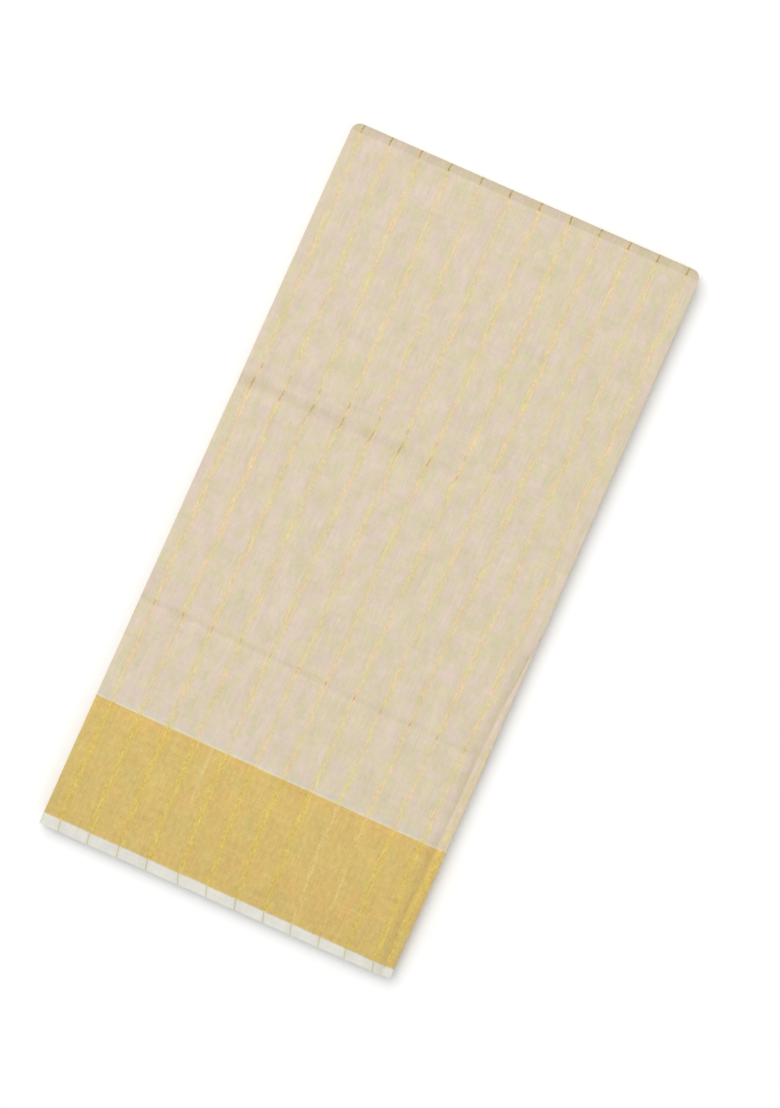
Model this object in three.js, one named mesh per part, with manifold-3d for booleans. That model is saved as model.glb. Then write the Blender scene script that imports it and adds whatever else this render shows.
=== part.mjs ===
// A handloom cotton saree, folded into a long flat bundle and laid on a table.
// The cloth is folded along its length into a zigzag of equal panels, and the zigzag is then folded in half
// across its width. That last fold is the round end of the bundle at +Y, and both selvedges lie at -Y.
// X runs across the bundle, Y along it towards the round fold, and Z up. Millimetres.
import * as THREE from "three";
import Module from "manifold-3d";
import { mergeVertices } from "three/addons/utils/BufferGeometryUtils.js";

const wasm = await Module();
wasm.setup();

// The cloth, as it leaves the loom
const SAREE_LENGTH = 5500;
const SAREE_WIDTH = 1200; // selvedge to selvedge
const BORDER_WIDTH = 100; // gold band beside each selvedge
const SELVEDGE_WIDTH = 8; // plain white edge outside the band

// The folded bundle
const FOLD_END_WIDTH = 292;
const SELVEDGE_END_WIDTH = 296; // the panels spread a little where the borders lie
const LAYER_PITCH = 0.486; // one layer of cloth with its air, at the round fold
const PANEL_COUNT = Math.floor(SAREE_LENGTH / FOLD_END_WIDTH);
const FOLD_HEIGHT = 2 * PANEL_COUNT * LAYER_PITCH; // over the round fold
const FOLD_RADIUS = FOLD_HEIGHT / 2;
const END_SKEW = 1.8; // how much sooner the left side reaches the round fold than the right side
const BUNDLE_LENGTH = SAREE_WIDTH / 2 + FOLD_RADIUS * (1 - Math.PI / 2);
const FREE_END_INSET = 9.3; // how far the outer panel's free end lies inside the fold below it

// The walls that stand for cloth
const WALL = 1; // the outer panel
const GAP = 0.3; // clear space between neighbouring solids
const LEAF_COUNT = 6; // bands that the hidden panels show at the bundle's edges, in each half of the stack
const LEAF_OVERLAP = 0.1; // how far one band runs into the next, so that they join into one solid
const NEXT_WIDTH = 42; // width of the strip of the next fold, most of it under the outer panel
const NEXT_END_INSET = 0.4; // how far its selvedge lies inside the outer panel's
const MERGE_DISTANCE = 1e-4; // points nearer than this are one

const CORE_DEPTH = WALL + GAP; // how deep the hidden panels begin
const LEAF = (FOLD_RADIUS - CORE_DEPTH) / (LEAF_COUNT + 0.5);
const HALF_LENGTH = BUNDLE_LENGTH / 2;
const FOLD_CENTRE_Y = HALF_LENGTH - FOLD_RADIUS;
const BORDER_START_Y = -HALF_LENGTH + SELVEDGE_WIDTH;
const BORDER_STOP_Y = BORDER_START_Y + BORDER_WIDTH;
const NEXT_STOP_Y = 20; // well past the place where the free end reaches the bundle's side

// Height of the stack along the bundle. The creases are those of an older fold into three.
const HEIGHTS = [
  { y: -HALF_LENGTH, height: 14.2 },
  { y: -270, height: 15.0 },
  { y: BORDER_STOP_Y, height: 15.6 },
  { y: -118, height: 15.8 },
  { y: -108, height: 15.5 },
  { y: -98, height: 15.9 },
  { y: 0, height: 16.4 },
  { y: 70, height: 16.3 },
  { y: 80, height: 15.6 },
  { y: 90, height: 16.3 },
  { y: 200, height: 16.9 },
  { y: FOLD_CENTRE_Y, height: FOLD_HEIGHT },
];

// Rise of the stack across the bundle: the folds down both sides are a little thicker than the middle.
const RISES = [
  { share: -1, rise: -0.5 },
  { share: -0.94, rise: 0.1 },
  { share: -0.6, rise: 0 },
  { share: 0, rise: -0.1 },
  { share: 0.6, rise: 0 },
  { share: 0.94, rise: 0.1 },
  { share: 1, rise: -0.5 },
];

// How far the outer panel's free end lies inside the bundle's right side, as a share of the full inset.
const FREE_END = [
  { y: -HALF_LENGTH, share: 0.88 },
  { y: -226, share: 1 },
  { y: BORDER_STOP_Y, share: 0.95 },
  { y: -118, share: 0.8 },
  { y: -76, share: 0.62 },
  { y: -36, share: 0.28 },
  { y: -8, share: 0 },
  { y: HALF_LENGTH, share: 0 },
];

// Where each band of hidden panels lies, inside the bundle's outline, from the outermost band inwards.
const LEAVES = [
  { left: 0.3, right: 0.2, upperEnd: 0.9, underEnd: 0.6 },
  { left: 1.4, right: 0.9, upperEnd: 0.2, underEnd: 1.5 },
  { left: 0.6, right: 1.6, upperEnd: 1.7, underEnd: 0.3 },
  { left: 1.8, right: 0.5, upperEnd: 0.7, underEnd: 1.9 },
  { left: 0.9, right: 1.9, upperEnd: 2.1, underEnd: 0.8 },
  { left: 1.2, right: 1.1, upperEnd: 1.2, underEnd: 1.4 },
];

// Rows of sections along each stretch
const BODY_ROWS = [-118, -108, -98, -76, -36, -8, 70, 80, 90, 200];
const BORDER_ROWS = [-270, -226];
const NEXT_ROWS = [-118, -108, -98, -76, -36, -8];
const TURN_STEPS = 10; // sections round the fold
const EDGE_ANGLES = [60, 120]; // points round a folded side edge, in degrees
const COLUMNS = RISES.map((row) => row.share);
const LEAF_COLUMNS = [-1, -0.5, 0.5, 1];

const COTTON = { color: "#dccfb9", roughness: 0.9, metalness: 0 };
const KASAVU = { color: "#d7bc74", roughness: 0.6, metalness: 0.15 };
const SELVEDGE = { color: "#e2e2dc", roughness: 0.9, metalness: 0 };

// The value of a table's column at a place between its rows, in straight lines.
function valueAt(table, key, column, place) {
  if (place <= table[0][key]) return table[0][column];
  for (let i = 1; i < table.length; i++) {
    const before = table[i - 1];
    const after = table[i];
    if (place <= after[key]) {
      const t = (place - before[key]) / (after[key] - before[key]);
      return THREE.MathUtils.lerp(before[column], after[column], t);
    }
  }
  return table[table.length - 1][column];
}

// Half the bundle's width, in its straight part.
function halfWidth(y) {
  const t = (FOLD_CENTRE_Y - y) / (FOLD_CENTRE_Y + HALF_LENGTH);
  return THREE.MathUtils.lerp(FOLD_END_WIDTH, SELVEDGE_END_WIDTH, t) / 2;
}

// Height of the bundle's upper face.
function upperHeight(x, y) {
  return valueAt(HEIGHTS, "y", "height", y) + valueAt(RISES, "share", "rise", x / halfWidth(y));
}

// A place on the way round the bundle: along the upper face, round the fold, and back along the underside.
const upperAt = (y) => ({ y, turn: 0 });
const turnAt = (turn) => ({ y: FOLD_CENTRE_Y, turn });
const underAt = (y) => ({ y, turn: Math.PI });

// How much the bundle narrows at a place: its corners are rounded where the cloth turns round the fold.
function cornerInset(place, depth) {
  const reach = ((FOLD_RADIUS - depth) / FOLD_RADIUS) * Math.sin(place.turn);
  return FOLD_RADIUS * (1 - Math.sqrt(1 - Math.min(1, reach * reach)));
}

// The real depth of a layer: the hidden panels are pressed closer together where the bundle is thinner.
function pressedDepth(depth, radius) {
  if (depth <= CORE_DEPTH) return depth;
  return CORE_DEPTH + ((depth - CORE_DEPTH) * (radius - CORE_DEPTH)) / (FOLD_RADIUS - CORE_DEPTH);
}

// The point at a place, at x across the bundle and this depth under its skin.
function bundlePoint(place, x, skinDepth) {
  const crown = upperHeight(x, place.y);
  const radius = crown / 2;
  const depth = pressedDepth(skinDepth, radius);
  let y = place.y;
  let z = place.turn === 0 ? crown - depth : depth;
  if (place.turn > 0 && place.turn < Math.PI) {
    y += (radius - depth) * Math.sin(place.turn);
    z = radius + (radius - depth) * Math.cos(place.turn);
  }
  const short = (END_SKEW / HALF_LENGTH) * Math.max(y, 0) * (1 - x / halfWidth(place.y)) / 2;
  return new THREE.Vector3(x, y - short, z);
}

// Where a sheet's columns lie across the bundle. Its edges are rounded past the first and the last of them.
const edgeRadius = (sheet) => (sheet.inner - sheet.outer) / 2;

function columnsAcross(place, sheet) {
  const inset = cornerInset(place, sheet.outer) + edgeRadius(sheet);
  const left = -halfWidth(place.y) + inset + sheet.left(place);
  const right = halfWidth(place.y) - inset - sheet.right(place);
  return sheet.columns.map((share) => THREE.MathUtils.mapLinear(share, -1, 1, left, right));
}

// One section of a sheet, as a ring: the outer face from left to right, then the inner face from right to left,
// with a rounded edge between them on each side. Points at equal places from the ring's two ends face each other.
function section(place, sheet) {
  const columns = columnsAcross(place, sheet);
  const round = edgeRadius(sheet);
  const bulge = (angle) => round * Math.sin(THREE.MathUtils.degToRad(angle));
  const sunk = (angle) => sheet.outer + round * (1 - Math.cos(THREE.MathUtils.degToRad(angle)));
  const leftEdge = (angle) => bundlePoint(place, columns[0] - bulge(angle), sunk(angle));
  const rightEdge = (angle) => bundlePoint(place, columns.at(-1) + bulge(angle), sunk(angle));
  const face = (depth) => columns.map((x) => bundlePoint(place, x, depth));
  return [
    leftEdge(EDGE_ANGLES[0]),
    ...face(sheet.outer),
    ...EDGE_ANGLES.map(rightEdge),
    ...face(sheet.inner).toReversed(),
    leftEdge(EDGE_ANGLES[1]),
  ];
}

// A closed body through a row of rings. The two end rings are filled by strips between their facing points.
function loft(rings) {
  const count = rings[0].length;
  const last = (rings.length - 1) * count;
  const index = [];
  for (let row = 0; row + 1 < rings.length; row++) {
    for (let i = 0; i < count; i++) {
      const a = row * count + i;
      const b = row * count + ((i + 1) % count);
      index.push(a, b, b + count, a, b + count, a + count);
    }
  }
  for (let i = 0; i + 1 < count / 2; i++) {
    const [a, b, c, d] = [i, i + 1, count - 2 - i, count - 1 - i];
    index.push(b, a, d, b, d, c);
    index.push(last + a, last + b, last + d, last + b, last + c, last + d);
  }
  const position = rings.flat().flatMap((point) => point.toArray());
  const geometry = new THREE.BufferGeometry();
  geometry.setAttribute("position", new THREE.Float32BufferAttribute(position, 3));
  geometry.setIndex(index);
  return facingOut(geometry);
}

// The same body, with its faces turned round if they point inwards.
function facingOut(geometry) {
  const index = geometry.index.array;
  const at = geometry.attributes.position;
  const [a, b, c] = [new THREE.Vector3(), new THREE.Vector3(), new THREE.Vector3()];
  let volume = 0;
  for (let i = 0; i < index.length; i += 3) {
    a.fromBufferAttribute(at, index[i]);
    b.fromBufferAttribute(at, index[i + 1]);
    c.fromBufferAttribute(at, index[i + 2]);
    volume += a.dot(b.cross(c)) / 6;
  }
  if (volume < 0) {
    for (let i = 0; i < index.length; i += 3) [index[i + 1], index[i + 2]] = [index[i + 2], index[i + 1]];
  }
  geometry.computeVertexNormals();
  return geometry;
}

// A geometry as a solid that can be joined or cut, and back.
function toSolid(geometry) {
  const plain = new THREE.BufferGeometry();
  plain.setAttribute("position", geometry.attributes.position.clone());
  plain.setIndex(geometry.index.clone());
  const merged = mergeVertices(plain, MERGE_DISTANCE);
  return new wasm.Manifold(
    new wasm.Mesh({
      numProp: 3,
      vertProperties: merged.attributes.position.array,
      triVerts: new Uint32Array(merged.index.array),
    }),
  );
}

function toGeometry(solid) {
  const mesh = solid.getMesh();
  const geometry = new THREE.BufferGeometry();
  geometry.setAttribute("position", new THREE.Float32BufferAttribute(mesh.vertProperties, 3));
  geometry.setIndex(new THREE.Uint32BufferAttribute(mesh.triVerts, 1));
  geometry.computeVertexNormals();
  return geometry;
}

const saree = new THREE.Group();

function addPiece(name, geometry, finish) {
  const mesh = new THREE.Mesh(geometry, new THREE.MeshStandardMaterial(finish));
  mesh.name = name;
  saree.add(mesh);
}

const none = () => 0;
const freeEndInset = (place) => FREE_END_INSET * valueAt(FREE_END, "y", "share", place.y);
const upperSheet = { outer: 0, inner: WALL, left: none, right: freeEndInset, columns: COLUMNS };
const turnedSheet = { outer: 0, inner: WALL, left: none, right: none, columns: COLUMNS };

// Rows from one end of a stretch to the other, half a gap short of each. The round fold's piece keeps its whole
// length, so its neighbours give way to it by a whole gap.
const stretch = (start, rows, stop) => [start + GAP / 2, ...rows, stop - GAP / 2];

// The outer panel: its upper face, the turn round the fold, and its flat underside.
function addOuterPanel() {
  const body = stretch(BORDER_STOP_Y, BODY_ROWS, FOLD_CENTRE_Y - GAP / 2);
  const border = stretch(BORDER_START_Y, BORDER_ROWS, BORDER_STOP_Y);
  const selvedge = [-HALF_LENGTH, BORDER_START_Y - GAP / 2];
  const plain = (rows) => [rows[0], rows.at(-1)];
  const upper = (rows) => loft(rows.map((y) => section(upperAt(y), upperSheet)));
  const under = (rows) => loft(plain(rows).map((y) => section(underAt(y), turnedSheet)));
  const turns = [];
  for (let step = 0; step <= TURN_STEPS; step++) turns.push((Math.PI * step) / TURN_STEPS);
  addPiece("upper_body", upper(body), COTTON);
  addPiece("upper_border", upper(border), KASAVU);
  addPiece("upper_selvedge", upper(selvedge), SELVEDGE);
  addPiece("fold_end", loft(turns.map((turn) => section(turnAt(turn), turnedSheet))), COTTON);
  addPiece("under_body", under(body), COTTON);
  addPiece("under_border", under(border), KASAVU);
  addPiece("under_selvedge", under(selvedge), SELVEDGE);
}

// One band of hidden panels, on its way along the upper half, round the fold and back along the lower half.
function leafBand(number) {
  const leaf = LEAVES[number];
  const outer = CORE_DEPTH + number * LEAF;
  const sheet = {
    outer,
    inner: outer + LEAF + LEAF_OVERLAP,
    left: () => leaf.left,
    right: () => leaf.right,
    columns: LEAF_COLUMNS,
  };
  const rows = [...BORDER_ROWS, BORDER_STOP_Y, ...BODY_ROWS, FOLD_CENTRE_Y];
  const places = [upperAt(-HALF_LENGTH + leaf.upperEnd), ...rows.map(upperAt)];
  for (let step = 1; step < TURN_STEPS; step++) places.push(turnAt((Math.PI * step) / TURN_STEPS));
  places.push(underAt(FOLD_CENTRE_Y), underAt(-HALF_LENGTH + leaf.underEnd));
  return loft(places.map((place) => section(place, sheet)));
}

// The filling between the two halves of the innermost band.
function innerFilling() {
  const margin = 3;
  const depth = CORE_DEPTH + LEAF_COUNT * LEAF;
  const rows = [-HALF_LENGTH + margin, ...BORDER_ROWS, BORDER_STOP_Y, ...BODY_ROWS, FOLD_CENTRE_Y];
  const rings = rows.map((y) => {
    const reach = halfWidth(y) - margin;
    const across = LEAF_COLUMNS.map((share) => share * reach);
    return [
      ...across.map((x) => bundlePoint(upperAt(y), x, depth)),
      ...across.toReversed().map((x) => bundlePoint(underAt(y), x, depth)),
    ];
  });
  return loft(rings);
}

// The top of the next fold down, which shows along the right side past the free end of the outer panel.
const nextSheet = {
  outer: CORE_DEPTH,
  inner: CORE_DEPTH + LEAF + LEAF_OVERLAP,
  left: (place) => 2 * halfWidth(place.y) - NEXT_WIDTH,
  right: () => LEAVES[0].right,
  columns: LEAF_COLUMNS,
};

function addNextFold() {
  const rowsOf = {
    next_body: { rows: stretch(BORDER_STOP_Y, NEXT_ROWS, NEXT_STOP_Y), finish: COTTON },
    next_border: { rows: stretch(BORDER_START_Y, BORDER_ROWS, BORDER_STOP_Y), finish: KASAVU },
    next_selvedge: { rows: [-HALF_LENGTH + NEXT_END_INSET, BORDER_START_Y - GAP / 2], finish: SELVEDGE },
  };
  for (const [name, { rows, finish }] of Object.entries(rowsOf)) {
    addPiece(name, loft(rows.map((y) => section(upperAt(y), nextSheet))), finish);
  }
}

// The room that the next fold's strip takes, a gap wider than the strip and open at its top, right and end.
function nextSeat() {
  const clear = 3;
  const rows = [-HALF_LENGTH - clear, ...BORDER_ROWS, BORDER_STOP_Y, ...NEXT_ROWS, NEXT_STOP_Y + GAP];
  const rings = rows.map((y) => {
    const place = upperAt(y);
    const columns = columnsAcross(place, nextSheet);
    const across = [columns[0] - edgeRadius(nextSheet) - GAP, ...columns, columns.at(-1) + clear];
    return [
      ...across.map((x) => bundlePoint(place, x, CORE_DEPTH - WALL)),
      ...across.toReversed().map((x) => bundlePoint(place, x, nextSheet.inner + GAP)),
    ];
  });
  return loft(rings);
}

// All the hidden panels as one solid, with the bands of their folds and ends at its edges.
function addHiddenPanels() {
  let core = toSolid(innerFilling());
  for (let number = 0; number < LEAF_COUNT; number++) core = core.add(toSolid(leafBand(number)));
  addPiece("hidden_panels", toGeometry(core.subtract(toSolid(nextSeat()))), COTTON);
}

addOuterPanel();
addNextFold();
addHiddenPanels();

export default saree;
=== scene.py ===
"""A handloom cotton saree, folded into a long flat bundle.

The cloth is folded along its length into a zigzag of panels, and the zigzag is folded once across its width.
A place on the cloth has two measures: one across the cloth's width, from the upper selvedge along the top,
round the fold and back along the underside, and one along its length, from panel to panel. Metres, with +X
across the bundle, +Y along it towards the round fold, and +Z up.
"""

import math
from collections import namedtuple

import bpy
import numpy as np
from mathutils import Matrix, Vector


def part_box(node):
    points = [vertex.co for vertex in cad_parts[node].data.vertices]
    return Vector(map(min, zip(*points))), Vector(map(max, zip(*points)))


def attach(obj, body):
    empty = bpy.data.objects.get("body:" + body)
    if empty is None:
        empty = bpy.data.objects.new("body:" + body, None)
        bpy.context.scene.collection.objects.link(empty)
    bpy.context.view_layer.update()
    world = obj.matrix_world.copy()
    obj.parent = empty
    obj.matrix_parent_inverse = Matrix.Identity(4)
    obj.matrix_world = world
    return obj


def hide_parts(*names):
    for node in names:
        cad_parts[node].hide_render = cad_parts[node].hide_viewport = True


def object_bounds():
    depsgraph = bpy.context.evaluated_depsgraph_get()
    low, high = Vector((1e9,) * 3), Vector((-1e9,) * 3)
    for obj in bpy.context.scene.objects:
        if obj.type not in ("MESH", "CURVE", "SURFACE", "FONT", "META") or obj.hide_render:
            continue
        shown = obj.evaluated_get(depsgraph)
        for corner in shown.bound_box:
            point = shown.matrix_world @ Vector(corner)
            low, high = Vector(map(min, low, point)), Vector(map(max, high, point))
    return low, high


bl_info = {
    "name": "Folded Handloom Saree",
    "version": (1, 0, 0),
    "blender": (4, 5, 0),
    "location": "View3D > Sidebar > Saree",
    "description": "Builds a folded handloom cotton saree with gold stripes and a gold border",
    "category": "Add Mesh",
}

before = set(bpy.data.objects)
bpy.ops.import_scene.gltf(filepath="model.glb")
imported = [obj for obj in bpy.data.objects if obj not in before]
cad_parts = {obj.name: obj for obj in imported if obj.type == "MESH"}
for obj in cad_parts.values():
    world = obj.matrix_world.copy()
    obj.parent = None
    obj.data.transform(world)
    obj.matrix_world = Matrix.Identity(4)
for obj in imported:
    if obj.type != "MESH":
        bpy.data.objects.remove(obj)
CAD_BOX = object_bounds()
MM = 0.001
BODY = "root"

# Sizes of the bundle, from the frame
BOX_LOW, BOX_HIGH = CAD_BOX
FOLD_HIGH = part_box("fold_end")[1]
HALF_LENGTH = (BOX_HIGH[1] - BOX_LOW[1]) / 2
END_SKEW = 1.8 * MM  # how much sooner the left side reaches the round fold than the right side
FOLD_RADIUS = FOLD_HIGH[2] / 2
FOLD_CENTRE = HALF_LENGTH - FOLD_RADIUS
FOLD_END_HALF = FOLD_HIGH[0]
SELVEDGE_END_HALF = BOX_HIGH[0]
UPPER_WIDTH = HALF_LENGTH + FOLD_CENTRE
CLOTH_WIDTH = 2 * UPPER_WIDTH + math.pi * FOLD_RADIUS
PANEL_WIDTH = FOLD_END_HALF + SELVEDGE_END_HALF
NEXT_STOP = UPPER_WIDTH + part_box("next_body")[1][1] - FOLD_CENTRE

# Ends of the strips of cloth that show, in shares of a panel
PAST_FOLD = 0.045  # how far they go on past their last fold
NEXT_BEGINS = 0.86  # where the next fold's strip begins
STRIP_GAP = 0.0005  # to the strip that goes on inside

# Depths of the outer cloth's soft forms
MIDDLE_SINKS = 0.1 * MM  # the upper face's middle
SIDES_ROUND = 0.65 * MM  # its two sides
UNDER_ROUND = 0.45 * MM  # the underside's two sides
FREE_END_DIP = 1.5 * MM  # at the free end
HOLLOW_DEPTH = 0.8 * MM  # the hollow along the right side
HOLLOW_INSET = 13 * MM  # how far from that side the hollow lies


def rows_in_mm(kind, lengths, rows):
    """A table's rows, whose first columns, as many as lengths says, are written in millimetres."""
    return tuple(kind(*[value * MM for value in row[:lengths]], *row[lengths:]) for row in rows)


# Height of the bundle's upper face, at places along Y
Knot = namedtuple("Knot", "place value")
HEIGHTS = (
    (-HALF_LENGTH, 14.2 * MM),
    *rows_in_mm(Knot, 2, ((-270, 15.0), (-190, 15.6), (-60, 16.1), (80, 16.4), (200, 16.9))),
    (FOLD_CENTRE, 2 * FOLD_RADIUS - 0.1 * MM),
)

# How far the outer panel's free end lies inside the bundle's right side, at places along Y on the upper face
FREE_END = ((-HALF_LENGTH, 8.0 * MM), *rows_in_mm(Knot, 2, (
    (-268, 9.1), (-235, 9.6), (-199, 9.0), (-172, 8.3), (-114, 7.4),
    (-76, 6.0), (-56, 4.4), (-32, 2.6), (-8, 0), (20, 0),
)))

# Creases across the bundle. Each lies at a place along Y, lower by slant at the right than at the left, and
# is as deep as left, middle and right say. Its upper side has this width and its lower side is gentler, with
# a low ridge, as a share of the depth. The last two columns say how dark the painted shade on the gold
# thread in it is at its left and at its right.
Crease = namedtuple("Crease", "place slant left middle right width ridge worn faded")
UPPER_CREASES = rows_in_mm(Crease, 6, (
    (76.0, 1.5, 1.9, 0.6, 0.30, 6.0, 0.0, 0.70, 0.08),
    (91.5, 3.0, 0.15, 0.08, 0.02, 2.8, 0.0, 0.45, 0.05),
    (-111.0, 8.0, 1.10, 0.72, 0.50, 3.0, 0.12, 0.55, 0.50),
))
UNDER_CREASES = rows_in_mm(Crease, 6, (
    (84.0, -3.0, 0.30, 0.22, 0.16, 3.0, 0.0, 0.6, 0.3),
    (-104.0, 2.0, 0.14, 0.22, 0.20, 2.0, 0.0, 0.4, 0.4),
))

# The gold stripes of the outer panel, from left to right: distance from its left side at the fold and at the
# selvedge, how far right of that straight line it bends in the bundle's upper part and in its lower part, how
# yellow it is in the border, and how warm the ground is to its right
Stripe = namedtuple("Stripe", "at_fold at_selvedge upper_bend lower_bend gilt warmth")
STRIPES = rows_in_mm(Stripe, 4, (
    (8.3, 15.0, 1.8, -1.1, 1.0, -1.0),
    (31.4, 40.0, 2.3, -1.8, 1.0, -0.2),
    (56.4, 65.0, 2.4, -2.3, 0.9, 0.1),
    (81.4, 88.9, 2.6, -2.6, 1.0, 0.0),
    (108.3, 115.8, 1.4, -3.8, 0.6, -0.5),
    (132.9, 139.7, 1.5, -4.3, 0.8, -0.3),
    (157.5, 163.9, 1.3, -4.5, 0.9, 0.4),
    (183.3, 187.7, 1.0, -4.5, 0.9, 1.0),
    (208.3, 210.7, 0.1, -4.8, 0.2, -0.3),
    (232.2, 235.0, 0.7, -4.3, 0.3, 0.4),
    (256.0, 256.9, 1.3, -4.0, 0.8, 0.7),
    (280.3, 280.4, 1.1, -4.3, 1.0, 0.2),
))
# How much of its bend a stripe has, at places along Y
UPPER_BEND = ((-200 * MM, 0), (20 * MM, 0.5), (150 * MM, 1.0), (230 * MM, 0.95), (FOLD_CENTRE, 0.25))
LOWER_BEND = (
    (-HALF_LENGTH, 0), (-275 * MM, 0.45), (-235 * MM, 1.0), (-120 * MM, 1.0), (20 * MM, 0.5), (160 * MM, 0)
)
STRIPE_PITCH = 24.6 * MM
STRIPE_WAVER = 4.6 * MM  # how unevenly a stripe's line runs
ZARI_PITCH = 1.2 * MM  # from one gold thread of a stripe to the next
JOINED_THREAD = 3.56  # where a single whitish thread lies in the border, in stripes from the first
HIDDEN_PITCH = 25.36 * MM  # on the panels inside
# How far outward the next panel's stripes lie at the bundle's right side, because that panel is askew
ASKEW_AT_FOLD = 24.0 * MM
ASKEW_AT_SELVEDGE = -7.0 * MM

# How uneven each kind of cloth is in brightness, in patches and from thread to thread both ways, how much
# painted light and shade of puckers lies beside its gold threads, and how rough it is
Look = namedtuple("Look", "grain weft warp pucker roughness")
LOOKS = {
    "cotton": Look(0.16, 0.14, 0.09, 0.24, 0.86),
    "border": Look(0.34, 0.18, 0.14, 0.4, 0.6),
    "selvedge": Look(0.1, 0.1, 0.08, 0.0, 0.88),
}
# How strongly the painted shade darkens the cloth round the fold, in the creases and beside the free end.
SHADE_TINT_STRENGTH = 0.26
RELIEF = 0.07 * MM  # of the threads

# The photograph's frame, and where the bundle lies in it
PHOTO_SIZE = (780, 1108)
PHOTO_BUNDLE_CENTRE = (372.0, 547.9)
PHOTO_PIXEL = 0.7712 * MM
PHOTO_LEAN = math.radians(24.05)

PHASES = np.random.default_rng(11).uniform(0, 2 * math.pi, (160, 3))


def curve_through(rows, place):
    """A smooth curve through rows of (place, value): cubic pieces, with the slope at a row worked out from
    the rows beside it. Past its ends the curve is level."""
    at, value = np.array(rows, float).T
    slope = np.gradient(value, at)
    i = np.clip(np.searchsorted(at, place) - 1, 0, len(at) - 2)
    span = at[i + 1] - at[i]
    t = np.clip((place - at[i]) / span, 0, 1)
    start = (1 + 2 * t) * (1 - t) ** 2 * value[i] + t * (1 - t) ** 2 * span * slope[i]
    return start + t * t * (3 - 2 * t) * value[i + 1] + t * t * (t - 1) * span * slope[i + 1]


def wander(number, place, length):
    """An uneven line from -1 to 1: three sines of about this wavelength, with the phases of this number."""
    phase = PHASES[np.asarray(number, int) % len(PHASES)]
    waves = (1.0, 0.61, 0.37)
    sines = [np.sin(2 * math.pi * place / (length * w) + phase[..., i]) for i, w in enumerate(waves)]
    return 0.5 * sines[0] + 0.3 * sines[1] + 0.2 * sines[2]


def tint(colour, share):
    """A colour made darker or lighter."""
    return tuple(part * share for part in colour)


def eased(low, high, value):
    """A rise from 0 at low to 1 at high, with level ends."""
    t = np.clip((value - low) / (high - low), 0, 1)
    return t * t * (3 - 2 * t)


def length_property(name, description, default):
    """A length that a user can change."""
    return bpy.props.FloatProperty(
        name=name, description=description, default=default, unit="LENGTH", precision=5
    )


class ClothSettings(bpy.types.PropertyGroup):
    """Sizes of the cloth and of its folds."""

    thickness: length_property("Thickness", "Thickness of the cloth", 0.26 * MM)
    panels: bpy.props.IntProperty(
        name="Panels", description="Panels in the zigzag, in each half of the bundle", default=18,
        min=4, max=24,
    )
    selvedge_width: length_property("Selvedge", "Width of the white edge", 8.1 * MM)
    border_width: length_property("Border", "Width of the gold border", 98.9 * MM)
    selvedge_slant: length_property("Selvedge slant", "How much wider it is at the left side", 0.75 * MM)
    unevenness: length_property("Unevenness", "How far the hidden folds lie from one line", 1.5 * MM)
    wave_height: length_property("Waves", "Height of the low waves in the outer cloth", 0.13 * MM)
    yarn: length_property("Yarn spacing", "Distance from one thread to the next", 0.42 * MM)


def colour_property(name, description, default):
    """A colour that a user can change."""
    return bpy.props.FloatVectorProperty(
        name=name, description=description, default=default, subtype="COLOR", size=3, min=0, max=1
    )


class ColourSettings(bpy.types.PropertyGroup):
    """Colours of the cloth and its threads."""

    cool: colour_property("Cool cotton", "Ground where it is paler and pinker", (0.712, 0.586, 0.484))
    warm: colour_property("Warm cotton", "Ground where it is yellower", (0.668, 0.594, 0.402))
    hem: colour_property("Cotton by the border", "Ground just above the border", (0.635, 0.585, 0.49))
    stripe: colour_property("Stripe", "Cotton tinted by the gold thread beside it", (0.684, 0.600, 0.325))
    stripe_warm: colour_property("Warm stripe", "The same, nearer to orange", (0.750, 0.568, 0.375))
    # The gold thread's own colour, shown only in the bright dashes of painted glints on it.
    zari: colour_property("Gold thread", "Bright gold thread", (0.94, 0.80, 0.36))
    # Painted shade on the gold thread round the fold and in the creases.
    worn: colour_property("Worn thread", "Gold thread where it has been bent", (0.37, 0.275, 0.13))
    # Painted shade over the cloth round the fold, in the creases and beside the free end.
    shade_tint: colour_property("Soil", "Tint of the old creases and beside the free end", (0.42, 0.34, 0.175))
    border: colour_property("Border", "Ground of the gold border", (0.700, 0.480, 0.160))
    border_olive: colour_property("Border, greener", "The same, where it is greener", (0.655, 0.502, 0.172))
    border_stripe: colour_property("Border stripe", "Gold stripe in the border", (0.688, 0.505, 0.112))
    border_pale: colour_property("Pale border stripe", "Whitish stripe in the border", (0.74, 0.58, 0.30))
    white: colour_property("White", "The selvedge", (0.768, 0.753, 0.675))
    selvedge_stripe: colour_property("Selvedge stripe", "A stripe's end on the selvedge", (0.53, 0.46, 0.28))


class StageSettings(bpy.types.PropertyGroup):
    """The floor, the light and the camera."""

    floor: colour_property("Floor", "Colour of the floor", (0.965, 0.965, 0.96))
    floor_size: length_property("Floor size", "Length of the floor's sides", 9.0)
    light: bpy.props.FloatProperty(
        name="Light", description="Power of the main light, in watts", default=193.0, min=0
    )
    sky: bpy.props.FloatProperty(
        name="Sky", description="Strength of the light from all round", default=0.42, min=0
    )
    focal_length: bpy.props.FloatProperty(
        name="Focal length", description="Focal length of the lens, in millimetres", default=85.0, min=20
    )


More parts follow.
